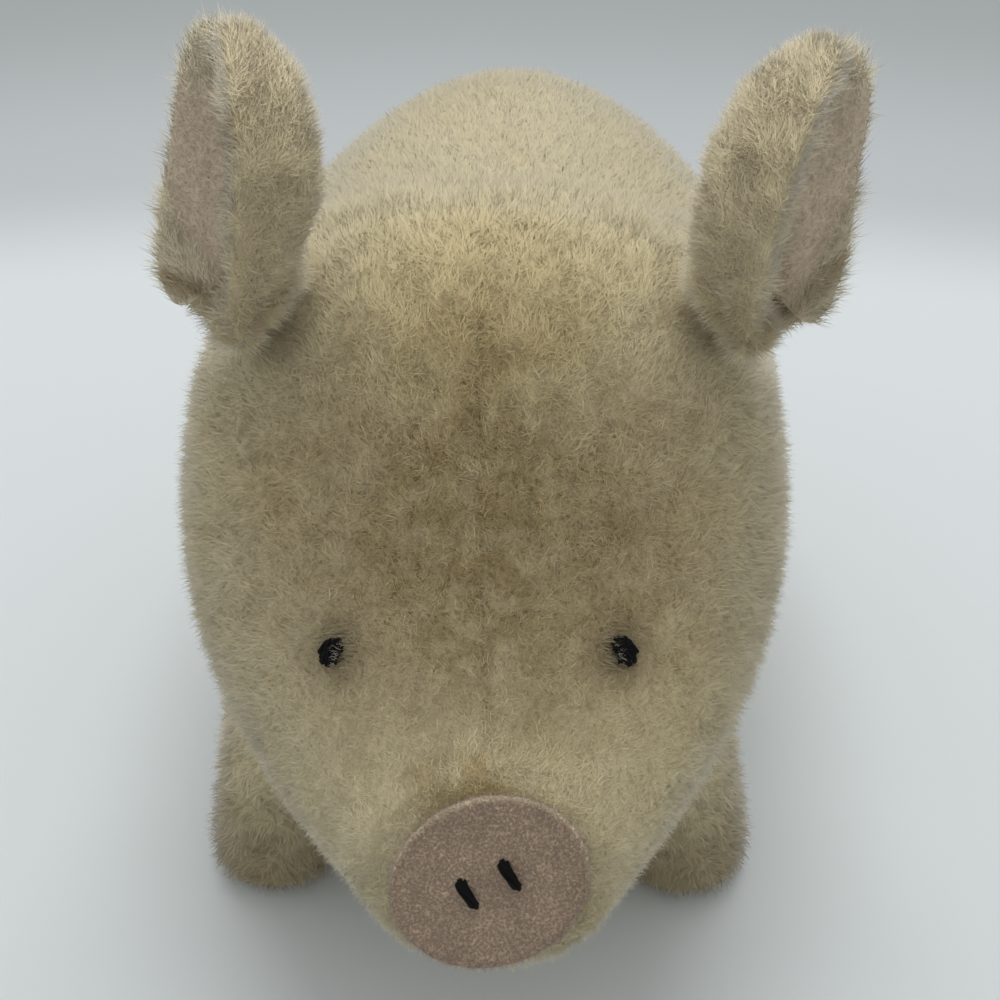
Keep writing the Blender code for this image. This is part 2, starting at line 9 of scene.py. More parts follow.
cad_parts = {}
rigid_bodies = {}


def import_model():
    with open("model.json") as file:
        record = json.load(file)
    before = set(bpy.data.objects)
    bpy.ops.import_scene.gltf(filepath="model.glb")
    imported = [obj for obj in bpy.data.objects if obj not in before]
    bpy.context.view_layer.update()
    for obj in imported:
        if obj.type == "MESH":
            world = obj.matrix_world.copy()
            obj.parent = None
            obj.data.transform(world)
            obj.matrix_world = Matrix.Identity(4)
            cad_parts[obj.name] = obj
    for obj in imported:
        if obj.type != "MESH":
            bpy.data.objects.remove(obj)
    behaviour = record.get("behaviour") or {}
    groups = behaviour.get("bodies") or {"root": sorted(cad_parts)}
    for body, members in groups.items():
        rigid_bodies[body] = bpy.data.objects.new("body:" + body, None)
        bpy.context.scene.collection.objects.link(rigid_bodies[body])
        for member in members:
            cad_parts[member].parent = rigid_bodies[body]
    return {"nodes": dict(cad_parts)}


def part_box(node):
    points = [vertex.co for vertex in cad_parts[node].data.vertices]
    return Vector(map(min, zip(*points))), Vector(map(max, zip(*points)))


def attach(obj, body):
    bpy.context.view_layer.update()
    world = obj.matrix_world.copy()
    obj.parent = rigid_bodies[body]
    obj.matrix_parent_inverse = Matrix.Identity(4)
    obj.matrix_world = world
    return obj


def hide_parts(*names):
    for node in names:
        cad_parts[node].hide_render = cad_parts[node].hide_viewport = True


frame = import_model()
nodes = frame["nodes"]
scene = bpy.context.scene
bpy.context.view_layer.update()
print("frame loaded,", len(nodes), "parts")


# small helpers for node trees

def wire(tree, kind, inputs=None, **settings):
    node = tree.nodes.new(kind)
    for name, value in settings.items():
        setattr(node, name, value)
    for key, value in (inputs or {}).items():
        if isinstance(value, bpy.types.NodeSocket):
            tree.links.new(value, node.inputs[key])
        elif value is not None:
            node.inputs[key].default_value = value
    return node


def calc(tree, operation, a, b=0.0, c=0.0, clamp=False):
    node = wire(tree, "ShaderNodeMath", {0: a, 1: b, 2: c}, operation=operation, use_clamp=clamp)
    return node.outputs[0]


def times(tree, a, b):
    return calc(tree, "MULTIPLY", a, b)


def shareOf(tree, a, b):
    return calc(tree, "DIVIDE", a, b)


def vec(tree, operation, a, b=None, scale=None):
    node = wire(tree, "ShaderNodeVectorMath", {0: a, 1: b, "Scale": scale}, operation=operation)
    single = operation in ("LENGTH", "DISTANCE", "DOT_PRODUCT")
    return node.outputs["Value" if single else "Vector"]


def scaled(tree, vector, scale):
    return vec(tree, "SCALE", vector, scale=scale)


def noise(tree, vector, scale, detail=2.0, roughness=0.5):
    values = {"Vector": vector, "Scale": scale, "Detail": detail, "Roughness": roughness}
    return wire(tree, "ShaderNodeTexNoise", values).outputs


def wander(tree, at, grain, amount, detail=2.0, roughness=0.5):  # a noisy shift to any side
    centred = vec(tree, "SUBTRACT", noise(tree, at, grain, detail, roughness)[1], (0.5, 0.5, 0.5))
    return scaled(tree, centred, amount)


def between(tree, value, low, high, newLow=0.0, newHigh=1.0):
    values = {"Value": value, "From Min": low, "From Max": high, "To Min": newLow, "To Max": newHigh}
    return wire(tree, "ShaderNodeMapRange", values, interpolation_type="SMOOTHSTEP").outputs["Result"]


def blendColour(tree, factor, a, b, mode="MIX"):
    values = {0: factor, 6: a, 7: b}
    return wire(tree, "ShaderNodeMix", values, data_type="RGBA", blend_type=mode).outputs[2]


def objectPoint(tree):
    return wire(tree, "ShaderNodeTexCoord").outputs["Object"]


def attribute(tree, name):
    return wire(tree, "ShaderNodeAttribute", attribute_name=name).outputs["Fac"]


socketTypes = {float: "Float", int: "Int", Vector: "Vector", tuple: "Color", type(None): "Geometry"}


def newTree(name, inputs, outputs, kind="ShaderNodeTree"):
    tree = bpy.data.node_groups.new(name, kind)
    for way, values in (("INPUT", inputs), ("OUTPUT", outputs)):
        for label, value in values.items():
            socketType = "NodeSocket" + socketTypes[type(value)]
            socket = tree.interface.new_socket(name=label, in_out=way, socket_type=socketType)
            if value is not None:
                socket.default_value = value
    return tree, tree.nodes.new("NodeGroupInput").outputs, tree.nodes.new("NodeGroupOutput").inputs


def rgb(red, green, blue):  # a colour read off as 0 to 255, in the linear values that nodes use
    return tuple(((c / 255 + 0.055) / 1.055) ** 2.4 for c in (red, green, blue)) + (1.0,)


# wear, dirt and painted shade: each reach goes from full strength out to none

sides = {"left": 1.0, "right": -1.0}  # the way outwards along X
eyeSpots = {"left": Vector((0.0178, -0.0690, 0.0634)), "right": Vector((-0.0185, -0.0692, 0.0621))}
wearAndShade = {
    "drift": 0.022, "driftGrain": 90.0,  # how far the edges of the stains, and of the feet's dirt and painted shade, wander
    "browAt": (0.001, -0.0618, 0.0768), "browStretch": (0.85, 0.80, 1.10), "browReach": (0.006, 0.039),
    "noseAt": (-0.0012, -0.0830, 0.0480), "noseReach": (0.002, 0.0095),
    # darker fur round the eyes, and dirt with painted shade on the feet up to this height
    "eyeReach": (0.0015, 0.0075), "footHeight": 0.034,
    # painted shade along the ears' folds and round their roots
    "earFolds": (
        ((0.0385, -0.0415, 0.1130), (0.0360, -0.0430, 0.0990)),
        ((-0.0292, -0.0500, 0.1240), (-0.0325, -0.0500, 0.1010)),
        ((0.0366, -0.0405, 0.0965), (0.0435, -0.0382, 0.1024)),
        ((-0.0402, -0.0429, 0.1001), (-0.0330, -0.0470, 0.0985)),
    ),
    "foldReach": (0.0005, 0.0026), "foldSoil": 0.9,
    "earRoots": ((0.0323, -0.0430, 0.0979), (-0.0286, -0.0460, 0.0976)),
    "rootReach": (0.0025, 0.0100), "rootSoil": 0.55,
    "crownAt": (0.0, -0.044, 0.101), "crownReach": (0.006, 0.024), "crownYellow": 0.9, "patchYellow": 0.5,
    "blotchGrain": 260.0, "patchGrain": 34.0, "fleckGrain": 1100.0,
    "cleanTones": 0.14, "dirtyTones": 0.36,  # how much one fibre differs from the next
    # the fold tint is painted shade in the ear folds and round the ear roots
    "tints": {"yellow": (1.0, 0.96, 0.84), "brow": (0.58, 0.505, 0.385), "nose": (0.68, 0.60, 0.47),
              # the eye tint darkens round the eyes; the foot tint is dirt with painted shade near the floor
              "eye": (0.66, 0.64, 0.62), "fold": (0.58, 0.52, 0.42), "foot": (0.52, 0.48, 0.41),
              "fleck": (0.50, 0.44, 0.36)},
}


def nearSpots(tree, at, spots, reach, strength=1.0):
    distance = vec(tree, "DISTANCE", at, spots[0])
    for spot in spots[1:]:
        distance = calc(tree, "MINIMUM", distance, vec(tree, "DISTANCE", at, spot))
    return between(tree, distance, *reach, strength, 0.0)


def lineDistance(tree, at, ends):
    start, end = Vector(ends[0]), Vector(ends[1])
    along = end - start
    offset = vec(tree, "SUBTRACT", at, tuple(start))
    ahead = vec(tree, "DOT_PRODUCT", offset, tuple(along))
    share = calc(tree, "DIVIDE", ahead, along.length_squared, clamp=True)
    return vec(tree, "DISTANCE", offset, scaled(tree, tuple(along), share))


# fur colour: yellowing, dirt and stains, with painted shade in the ear folds, round the ear roots and by the
# feet
def makeAgedAndShadedPile():
    inputs = {"Tip": 1.0, "Tone": 0.5, "Root shade": 0.5, "Dirt": 1.0, "Yellowing": 1.0,
              "Clean": (0.5, 0.44, 0.28, 1.0)}
    tree, given, result = newTree("agedPile", inputs, {"Colour": (0.5, 0.44, 0.28, 1.0)})
    at = objectPoint(tree)
    shifted = vec(tree, "ADD", at, wander(tree, at, wearAndShade["driftGrain"], wearAndShade["drift"], 3.0, 0.6))

    # grey handling dirt on the brow, in soft blotches
    offset = vec(tree, "MULTIPLY", vec(tree, "SUBTRACT", shifted, wearAndShade["browAt"]), wearAndShade["browStretch"])
    brow = between(tree, vec(tree, "LENGTH", offset), *wearAndShade["browReach"], 1.0, 0.0)
    blotch = between(tree, noise(tree, at, wearAndShade["blotchGrain"], 4.0, 0.65)[0], 0.32, 0.64, 0.50, 1.0)
    browMask = times(tree, times(tree, brow, blotch), given["Dirt"])
    # a browner stain by the snout, darker fur round the eyes, and feet darker towards the floor: dirt with
    # painted shade near the floor
    noseMask = times(tree, nearSpots(tree, shifted, [wearAndShade["noseAt"]], wearAndShade["noseReach"]), given["Dirt"])
    eyeMask = times(tree, nearSpots(tree, at, list(eyeSpots.values()), wearAndShade["eyeReach"]), given["Dirt"])
    low = wire(tree, "ShaderNodeSeparateXYZ", {0: shifted}).outputs[2]
    footDirtAndShadeMask = times(tree, between(tree, low, 0.0, wearAndShade["footHeight"], 1.0, 0.0), given["Dirt"])
    # painted shade in the folds of the ears and round their roots
    folds = 1.0
    for ends in wearAndShade["earFolds"]:
        folds = calc(tree, "MINIMUM", lineDistance(tree, at, ends), folds)
    foldShadeMask = between(tree, folds, *wearAndShade["foldReach"], wearAndShade["foldSoil"], 0.0)
    earRootShadeMask = nearSpots(tree, at, wearAndShade["earRoots"], wearAndShade["rootReach"], wearAndShade["rootSoil"])
    # old yellowing on the crown and in wide patches
    patch = between(tree, noise(tree, at, wearAndShade["patchGrain"])[0], 0.42, 0.70, 0.0, wearAndShade["patchYellow"])
    crown = nearSpots(tree, at, [wearAndShade["crownAt"]], wearAndShade["crownReach"], wearAndShade["crownYellow"])
    yellow = times(tree, calc(tree, "MAXIMUM", patch, crown), given["Yellowing"])
    # dark flecks, most of them in the dirt: speckled dirt, with painted shade of the gaps between tufts
    fleck = between(tree, noise(tree, at, wearAndShade["fleckGrain"], 2.0, 0.6)[0], 0.52, 0.70)
    fleck = times(tree, fleck, calc(tree, "MULTIPLY_ADD", browMask, 0.85, 0.06))

    # a fibre is darker at its root, and its tone differs more in the dirt
    rise = calc(tree, "SUBTRACT", 1.0, given["Root shade"])
    height = calc(tree, "MULTIPLY_ADD", given["Tip"], rise, given["Root shade"])
    span = calc(tree, "MULTIPLY_ADD", browMask, wearAndShade["dirtyTones"], wearAndShade["cleanTones"])
    tone = calc(tree, "MULTIPLY_ADD", calc(tree, "SUBTRACT", given["Tone"], 0.5), span, 1.0)
    colour = scaled(tree, given["Clean"], times(tree, height, tone))
    masks = {"yellow": yellow, "brow": browMask, "nose": noseMask, "eye": eyeMask,
             "fold": calc(tree, "MAXIMUM", foldShadeMask, earRootShadeMask), "foot": footDirtAndShadeMask, "fleck": fleck}
    for name, mask in masks.items():
        colour = blendColour(tree, mask, colour, (*wearAndShade["tints"][name], 1.0), "MULTIPLY")
    tree.links.new(colour, result["Colour"])
    return tree


def makeMattedWool():
    tree, given, result = newTree("mattedWool", {"Fineness": 2200.0}, {"Height": 0.0, "Tone": 0.0})
    at = objectPoint(tree)
    bent = vec(tree, "ADD", at, wander(tree, at, 420.0, 0.0045))
    fine = noise(tree, bent, given["Fineness"], 3.0, 0.65)[0]
    ridge = times(tree, calc(tree, "ABSOLUTE", calc(tree, "SUBTRACT", fine, 0.5)), 5.0)
    fibres = calc(tree, "SUBTRACT", 1.0, ridge, clamp=True)
    tufts = noise(tree, at, 520.0)[0]
    tree.links.new(calc(tree, "MULTIPLY_ADD", tufts, 1.5, fibres), result["Height"])
    tree.links.new(fibres, result["Tone"])
    return tree


def makeWeave():
    tree, given, result = newTree("plainWeave", {"Threads": 320.0}, {"Height": 0.0})
    values = {"Vector": objectPoint(tree), "Scale": given["Threads"], "Distortion": 0.8}
    waves = [wire(tree, "ShaderNodeTexWave", values, bands_direction=way).outputs[1] for way in ("X", "Y")]
    tree.links.new(calc(tree, "ADD", *waves), result["Height"])
    return tree


agedPile = makeAgedAndShadedPile()
mattedWool = makeMattedWool()
plainWeave = makeWeave()


def newMaterial(name, roughness, sheen=0.0):
    material = bpy.data.materials.new(name)
    material.use_nodes = True
    tree = material.node_tree
    shader = tree.nodes["Principled BSDF"]
    values = {"Roughness": roughness, "Sheen Weight": sheen, "Sheen Roughness": 0.6,
              "Specular IOR Level": 0.2}
    for key, value in values.items():
        shader.inputs[key].default_value = value
    return material, tree, shader


def agedAndShadedColour(tree, look, tip, tone):
    values = {key: look[key] for key in ("Root shade", "Dirt", "Yellowing", "Clean")}
    values.update({"Tip": tip, "Tone": tone})
    return wire(tree, "ShaderNodeGroup", values, node_tree=agedPile).outputs["Colour"]


def bumped(tree, shader, height, strength, depth):
    bump = wire(tree, "ShaderNodeBump", {"Height": height, "Strength": strength, "Distance": depth})
    tree.links.new(bump.outputs["Normal"], shader.inputs["Normal"])


def pileMaterial(name, look):
    material, tree, shader = newMaterial(name, 0.9, look["sheen"])
    colour = agedAndShadedColour(tree, look, attribute(tree, "tip"), attribute(tree, "tone"))
    tree.links.new(colour, shader.inputs["Base Color"])
    return material


def clothMaterial(name, look):
    material, tree, shader = newMaterial(name, 0.95, look["sheen"])
    wool = wire(tree, "ShaderNodeGroup", node_tree=mattedWool)
    wool.inputs["Fineness"].default_value = look["fineness"]
    colour = agedAndShadedColour(tree, look, look["depth"], wool.outputs["Tone"])
    tree.links.new(colour, shader.inputs["Base Color"])
    bumped(tree, shader, wool.outputs["Height"], look["bump"], 0.0003)
    return material


# meshes and objects

def placed(name, data):
    piece = bpy.data.objects.new(name, data)
    scene.collection.objects.link(piece)
    return piece


def meshOf(name, shape):
    mesh = bpy.data.meshes.new(name)
    shape.to_mesh(mesh)
    shape.free()
    mesh.shade_smooth()
    return mesh


def refine(piece, levels):
    finer = piece.modifiers.new("finer", "SUBSURF")
    finer.levels = finer.render_levels = levels


def tufted(piece, size, height):
    cloud = bpy.data.textures.new(piece.name, "CLOUDS")
    cloud.noise_scale = size
    uneven = piece.modifiers.new("tufts", "DISPLACE")
    uneven.texture = cloud
    uneven.strength = height


def applied(name, piece):
    bpy.context.view_layer.update()
    graph = bpy.context.evaluated_depsgraph_get()
    final = piece.evaluated_get(graph)
    mesh = bpy.data.meshes.new_from_object(final, preserve_all_data_layers=True, depsgraph=graph)
    bpy.data.objects.remove(piece)
    mesh.name = name
    return placed(name, mesh)


def painted(piece, material):
    piece.data.materials.clear()
    piece.data.materials.append(material)


def finished(piece, body, finish, replaced):
    painted(piece, finish["cloth"])
    piece.data.shade_smooth()
    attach(piece, body)
    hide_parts(replaced)
    return piece


def mergedCopy(nodeName):
    shape = bmesh.new()
    shape.from_mesh(nodes[nodeName].data)
    bmesh.ops.remove_doubles(shape, verts=shape.verts[:], dist=0.00002)
    bmesh.ops.join_triangles(shape, faces=shape.faces[:], angle_face_threshold=0.6, angle_shape_threshold=1.2)
    return shape


def treeOf(nodeName):
    shape = mergedCopy(nodeName)
    found = BVHTree.FromBMesh(shape)
    shape.free()
    return found


def camel(nodeName):
    first, *others = nodeName.split("_")
    return first + "".join(word.capitalize() for word in others)


def easeOver(value, low, high):
    share = min(max((value - low) / (high - low), 0.0), 1.0)
    return share * share * (3.0 - 2.0 * share)


# single fibres, made once and strewn over each panel: rings of height, radius and shift to two sides

fibreForms = {
    "straight": [(0.0, 0.50, 0.0, 0.0), (1.0, 0.0, 1.0, 0.0)],
    "bowed": [(0.0, 0.50, 0.0, 0.0), (0.45, 0.42, 1.0, 0.0), (1.0, 0.0, 4.2, 0.0)],
    "hooked": [(0.0, 0.50, 0.0, 0.0), (0.5, 0.42, 2.2, 0.6), (0.95, 0.0, 1.2, 3.0)],
}


def makeFibre(name, rings):
    shape = bmesh.new()
    height, radius, across, back = rings[0]
    bmesh.ops.create_circle(shape, cap_ends=True, segments=3, radius=radius)
    top = shape.faces[:]
    for ring in rings[1:]:
        grown = bmesh.ops.extrude_face_region(shape, geom=top)["geom"]
        moving = [item for item in grown if isinstance(item, bmesh.types.BMVert)]
        bmesh.ops.delete(shape, geom=top, context="FACES_ONLY")
        top = [item for item in grown if isinstance(item, bmesh.types.BMFace)]
        shift = Vector((ring[2] - across, ring[3] - back, ring[0] - height))
        height, across, back = ring[0], ring[2], ring[3]
        bmesh.ops.translate(shape, vec=shift, verts=moving)
        if ring[1] > 0.0:
            narrower = Vector((1.0, 1.0, 0.0)) * (ring[1] / radius) + Vector((0.0, 0.0, 1.0))
            centre = Matrix.Translation((-across, -back, -height))
            bmesh.ops.scale(shape, vec=narrower, space=centre, verts=moving)
            radius = ring[1]
        else:
            bmesh.ops.pointmerge(shape, verts=moving, merge_co=Vector((across, back, height)))
    bmesh.ops.holes_fill(shape, edges=shape.edges[:], sides=3)
    bmesh.ops.recalc_face_normals(shape, faces=shape.faces[:])
    tip = shape.verts.layers.float.new("tip")
    ownMap = shape.loops.layers.uv.new("fibreMap")
    for vert in shape.verts:
        vert[tip] = vert.co.z
    for face in shape.faces:
        for loop, side in zip(face.loops, (0.1, 0.5, 0.9)):
            loop[ownMap].uv = (side, loop.vert.co.z)
    return bpy.data.objects.new(name, meshOf(name, shape))


shelf = bpy.data.collections.new("fibres")
scene.collection.children.link(shelf)
for formName, formRings in fibreForms.items():
    shelf.objects.link(makeFibre(formName, formRings))
print("fibres made")


fibreRange = {"width": (0.7, 1.3), "length": (0.6, 1.25), "hookedShare": 0.4}


def makePileNodes():
    inputs = {"Geometry": None, "Seed": 1, "Density": 1e6, "Length": 0.003, "Width": 0.0002,
              "Clump size": 0.003, "Clump pull": 1.0, "Flow size": 0.008, "Flow": 0.6, "Jitter": 0.5,
              "Plain share": 0.5, "Hair shading": 0.35, "Comb": Vector()}
    tree, given, result = newTree("strewPile", inputs, {"Geometry": None}, "GeometryNodeTree")

    def made(kind, values=None, **settings):
        return wire(tree, kind, values, **settings).outputs[0]

    def chance(offset, low, high):
        values = {2: low, 3: high, "Seed": calc(tree, "ADD", given["Seed"], float(offset))}
        return wire(tree, "FunctionNodeRandomValue", values, data_type="FLOAT").outputs[1]

    def stored(name, kind="FLOAT"):
        return made("GeometryNodeInputNamedAttribute", {"Name": name}, data_type=kind)

    def keep(geometry, name, value, kind, domain="POINT"):
        values = {"Geometry": geometry, "Name": name, "Value": value}
        return made("GeometryNodeStoreNamedAttribute", values, data_type=kind, domain=domain)

    values = {"Mesh": given["Geometry"], "Density": times(tree, given["Density"], stored("pileCover")),
              "Seed": given["Seed"]}
    scattered = wire(tree, "GeometryNodeDistributePointsOnFaces", values, distribute_method="RANDOM")
    points = scattered.outputs["Points"]
    normal = vec(tree, "NORMALIZE", stored("pileWay", "FLOAT_VECTOR"))
    at = made("GeometryNodeInputPosition")

    # neighbours lean to one middle, so that the pile mats into small tufts
    values = {"Vector": at, "Scale": shareOf(tree, 1.0, given["Clump size"])}
    tuft = wire(tree, "ShaderNodeTexVoronoi", values).outputs["Position"]
    pull = shareOf(tree, given["Clump pull"], given["Clump size"])
    inward = scaled(tree, vec(tree, "SUBTRACT", tuft, at), pull)
    flow = wander(tree, at, shareOf(tree, 1.0, given["Flow size"]), times(tree, given["Flow"], 4.0))
    values = {0: (-1, -1, -1), 1: (1, 1, 1), "Seed": given["Seed"]}
    shake = made("FunctionNodeRandomValue", values, data_type="FLOAT_VECTOR")
    lean = vec(tree, "ADD", vec(tree, "ADD", inward, flow), scaled(tree, shake, given["Jitter"]))
    lean = vec(tree, "ADD", lean, given["Comb"])
    upwards = scaled(tree, normal, vec(tree, "DOT_PRODUCT", lean, normal))
    way = vec(tree, "NORMALIZE", vec(tree, "ADD", normal, vec(tree, "SUBTRACT", lean, upwards)))
    upright = made("FunctionNodeAlignRotationToVector", {"Vector": way}, axis="Z")
    spin = made("FunctionNodeAxisAngleToRotation", {"Axis": (0, 0, 1), "Angle": chance(1, 0.0, 6.2832)})
    values = {"Rotation": upright, "Rotate By": spin}
    twisted = made("FunctionNodeRotateRotation", values, rotation_space="LOCAL")
    width = times(tree, given["Width"], chance(2, *fibreRange["width"]))
    length = times(tree, given["Length"], stored("pileLength"))
    length = times(tree, length, chance(3, *fibreRange["length"]))
    size = made("ShaderNodeCombineXYZ", {0: width, 1: width, 2: length})

    # each fibre gets its own small square of the bake's map
    index = made("GeometryNodeInputIndex")
    counted = wire(tree, "GeometryNodeAttributeDomainSize", {"Geometry": points}, component="POINTCLOUD")
    side = calc(tree, "CEIL", calc(tree, "SQRT", counted.outputs["Point Count"]))
    column = shareOf(tree, calc(tree, "MODULO", index, side), side)
    row = shareOf(tree, calc(tree, "FLOOR", shareOf(tree, index, side)), side)
    square = made("ShaderNodeCombineXYZ", {0: column, 1: row, 2: shareOf(tree, 1.0, side)})
    soft = vec(tree, "ADD", normal, scaled(tree, way, given["Hair shading"]))
    kept = keep(points, "tone", chance(4, 0.0, 1.0), "FLOAT")
    kept = keep(kept, "square", square, "FLOAT_VECTOR")
    kept = keep(kept, "softNormal", vec(tree, "NORMALIZE", soft), "FLOAT_VECTOR")

    # the shelf gives bowed, hooked and straight fibres, in that order
    values = {"Collection": shelf, "Separate Children": True, "Reset Children": True}
    shapes = made("GeometryNodeCollectionInfo", values)
    bent = calc(tree, "GREATER_THAN", chance(5, 0.0, 1.0), given["Plain share"])
    bowed = calc(tree, "GREATER_THAN", chance(6, 0.0, 1.0), fibreRange["hookedShare"])
    choice = calc(tree, "SUBTRACT", 2.0, times(tree, bent, calc(tree, "ADD", 1.0, bowed)))
    values = {"Points": kept, "Instance": shapes, "Pick Instance": True, "Instance Index": choice,
              "Rotation": twisted, "Scale": size}
    real = made("GeometryNodeRealizeInstances", {0: made("GeometryNodeInstanceOnPoints", values)})
    home = stored("square", "FLOAT_VECTOR")
    step = wire(tree, "ShaderNodeSeparateXYZ", {0: home}).outputs[2]
    inner = scaled(tree, stored("fibreMap", "FLOAT_VECTOR"), 0.7)
    inner = vec(tree, "ADD", inner, (0.15, 0.15, 0.0))
    spot = vec(tree, "ADD", home, scaled(tree, inner, step))
    tree.links.new(keep(real, "OFBake", spot, "FLOAT2", "CORNER"), result["Geometry"])
    return tree


strewPile = makePileNodes()
sockets = strewPile.interface.items_tree
pileInputs = {socket.name: socket.identifier for socket in sockets if socket.in_out == "INPUT"}


def strew(name, cloth, body, finish, settings):
    pile = placed(name + "Draft", cloth.data)
    grown = pile.modifiers.new("pile", "NODES")
    grown.node_group = strewPile
    for key, value in settings.items():
        grown[pileInputs[key]] = value
    pile = applied(name, pile)
    mesh = pile.data
    # light falls on the fibres as on the cloth under them, which keeps the pile soft
    flat = [0.0] * (len(mesh.vertices) * 3)
    mesh.attributes["softNormal"].data.foreach_get("vector", flat)
    mesh.normals_split_custom_set_from_vertices(list(zip(flat[0::3], flat[1::3], flat[2::3])))
    unmark(pile, "square", "softNormal", "fibreMap")
    painted(pile, finish["pile"])
    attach(pile, body)


def everywhere(point):
    return 1.0


def markPile(piece, coverAt, lengthAt=everywhere, wayAt=None):
    marks = {"pileCover": [], "pileLength": [], "pileWay": []}
    for vert in piece.data.vertices:
        marks["pileCover"].append(coverAt(vert.co, vert.normal))
        marks["pileLength"].append(lengthAt(vert.co))
        marks["pileWay"].extend(wayAt(vert.co, vert.normal) if wayAt else vert.normal)
    for name, values in marks.items():
        kind, field = ("FLOAT_VECTOR", "vector") if name == "pileWay" else ("FLOAT", "value")
        piece.data.attributes.new(name, kind, "POINT").data.foreach_set(field, values)


def unmark(piece, *others):
    attributes = piece.data.attributes
    for name in ("pileCover", "pileLength", "pileWay", *others):
        if name in attributes:
            attributes.remove(attributes[name])


def fringed(name, cloth, body, finish, settings, cover, way=None):
    markPile(cloth, cover, wayAt=way)
    strew(name, cloth, body, finish, settings)
    unmark(cloth)


def seeded(layers, first):
    return {name: dict(layers[name], Seed=first + number) for number, name in enumerate(layers)}


def dressed(nodeName, shape, body, finish, layers, cover, mask=everywhere, length=everywhere, way=None,
            levels=2, tufts=None):
    title = camel(nodeName)
    cloth = placed(title + "Draft", meshOf(title, shape))
    refine(cloth, levels)
    if tufts:
        tufted(cloth, *tufts)
    cloth = applied(title + "Cloth", cloth)
    markPile(cloth, lambda point, normal: cover(point, normal) * mask(point), length, way)
    for layer, settings in layers.items():
        strew(title + layer, cloth, body, finish, settings)
    unmark(cloth)
    return finished(cloth, body, finish, nodeName)


def middleOf(nodeName):
    low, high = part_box(nodeName)
    return Vector(low).lerp(Vector(high), 0.5)


# the felt disc's plane, which the pile round it keeps clear of

disc = {
    "centre": middleOf("snout_disc"),
    "out": Vector((0.0, -0.9063, 0.4226)),
    "up": Vector((0.0, 0.4226, 0.9063)),
    "roll": math.radians(27.0), "long": 0.0128, "short": 0.0108,
}


def inDisc(point, growth=0.0):  # 1 at the disc's edge, and the height over its plane
    offset = Vector(point) - disc["centre"]
    wide, tall = offset.x, offset.dot(disc["up"])
    along = wide * math.cos(disc["roll"]) + tall * math.sin(disc["roll"])
    over = tall * math.cos(disc["roll"]) - wide * math.sin(disc["roll"])
    ratio = math.hypot(along / (disc["long"] + growth), over / (disc["short"] + growth))
    return ratio, offset.dot(disc["out"])


# the stuffed forms: each packed cover becomes matted cloth just under its surface, with pile strewn on it

plush = {
    "clothShare": 0.78,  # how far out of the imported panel's thickness the cloth lies
    "tufts": (0.0032, 0.0006),
    "rimGrowth": 0.0013,  # the panels' edges grow into each other, so that the pile hides the seams
    "seamBand": (0.0030, 0.0012),  # beside a middle seam the pile stands out from the stuffing
    "reach": 0.003,  # how far the head's and legs' open ends reach into the body
    "neckBand": (-0.034, -0.014),
    "legBand": (0.026, 0.038),
    # the head's rim is drawn in to the body, to hold this far off it
    "neckHold": 0.0010, "neckPull": 0.0022, "pullBand": (-0.030, -0.012),
    "hollowDepth": 0.0012, "hollowWidth": 0.0050, "bareEye": 0.0013, "bareDisc": 0.0024,
    "faceLength": 0.62, "faceBand": (-0.084, -0.050), "eyeBand": (0.002, 0.005),
    "snoutFront": (0.0850, 0.0860), "clearance": 0.0006,
}
pileLook = {"sheen": 0.5, "Root shade": 0.84, "Dirt": 1.0, "Yellowing": 1.0, "Clean": rgb(250, 236, 192)}
clothLook = {"sheen": 0.1, "depth": 0.55, "fineness": 2200.0, "bump": 0.5,
             "Root shade": 0.76, "Dirt": 1.0, "Yellowing": 1.0, "Clean": rgb(239, 226, 189)}
wornLook = {**pileLook, "Root shade": 0.96, "Clean": rgb(225, 213, 175)}
wornClothLook = {**clothLook, "depth": 0.9, "Clean": rgb(228, 216, 178)}
creamPlush = {"slot": "cream_plush", "pile": pileMaterial("creamPile", pileLook),
              "cloth": clothMaterial("creamCloth", clothLook)}
bodyPlush = {"slot": "cream_plush", "pile": pileMaterial("bodyPile", wornLook),
             "cloth": clothMaterial("bodyCloth", wornClothLook)}
snoutPlush = {"slot": "cream_plush", "pile": pileMaterial("snoutFringe", dict(pileLook, Dirt=0.6))}

# short matted underwool, and fewer long fine hairs
uncombed = (0.0, 0.0, 0.0)
underwool = {"Density": 5.5e6, "Length": 0.0021, "Width": 0.00014, "Clump size": 0.0020, "Clump pull": 0.6,
             "Flow size": 0.0036, "Flow": 1.3, "Jitter": 0.6, "Plain share": 0.92, "Comb": (0.0, 0.35, -0.15)}
longHairs = {"Density": 4.3e6, "Length": 0.0027, "Width": 0.00010, "Clump size": 0.0024, "Clump pull": 0.4,
             "Flow size": 0.0045, "Flow": 1.2, "Jitter": 0.9, "Plain share": 0.88, "Comb": (0.0, 0.35, -0.15)}
wornSmooth = {"Clump pull": 0.05, "Flow": 0.4, "Jitter": 0.7, "Comb": (0.0, 0.9, -0.15)}
headLayers = {"Underwool": underwool, "Hairs": longHairs}
bodyLayers = {"Underwool": {**underwool, **wornSmooth, "Density": 2.3e6, "Width": 0.00022},
              "Hairs": {**longHairs, **wornSmooth, "Density": 1.4e6, "Width": 0.00014, "Length": 0.0024}}
chinLayers = {"Pile": dict(underwool, Density=4.8e6, Width=0.00018)}
bellyLayers = {"Pile": dict(underwool, Density=1.3e6, Width=0.00034, Length=0.0025)}
legLayers = {"Pile": dict(underwool, Density=3.5e6, Width=0.00019, Length=0.0025, Comb=(0.0, 0.0, -0.4))}
eyeFringe = {**longHairs, "Density": 2.2e7, "Length": 0.0030, "Width": 0.00011, "Jitter": 0.5, "Flow": 0.3,
             "Plain share": 0.3}
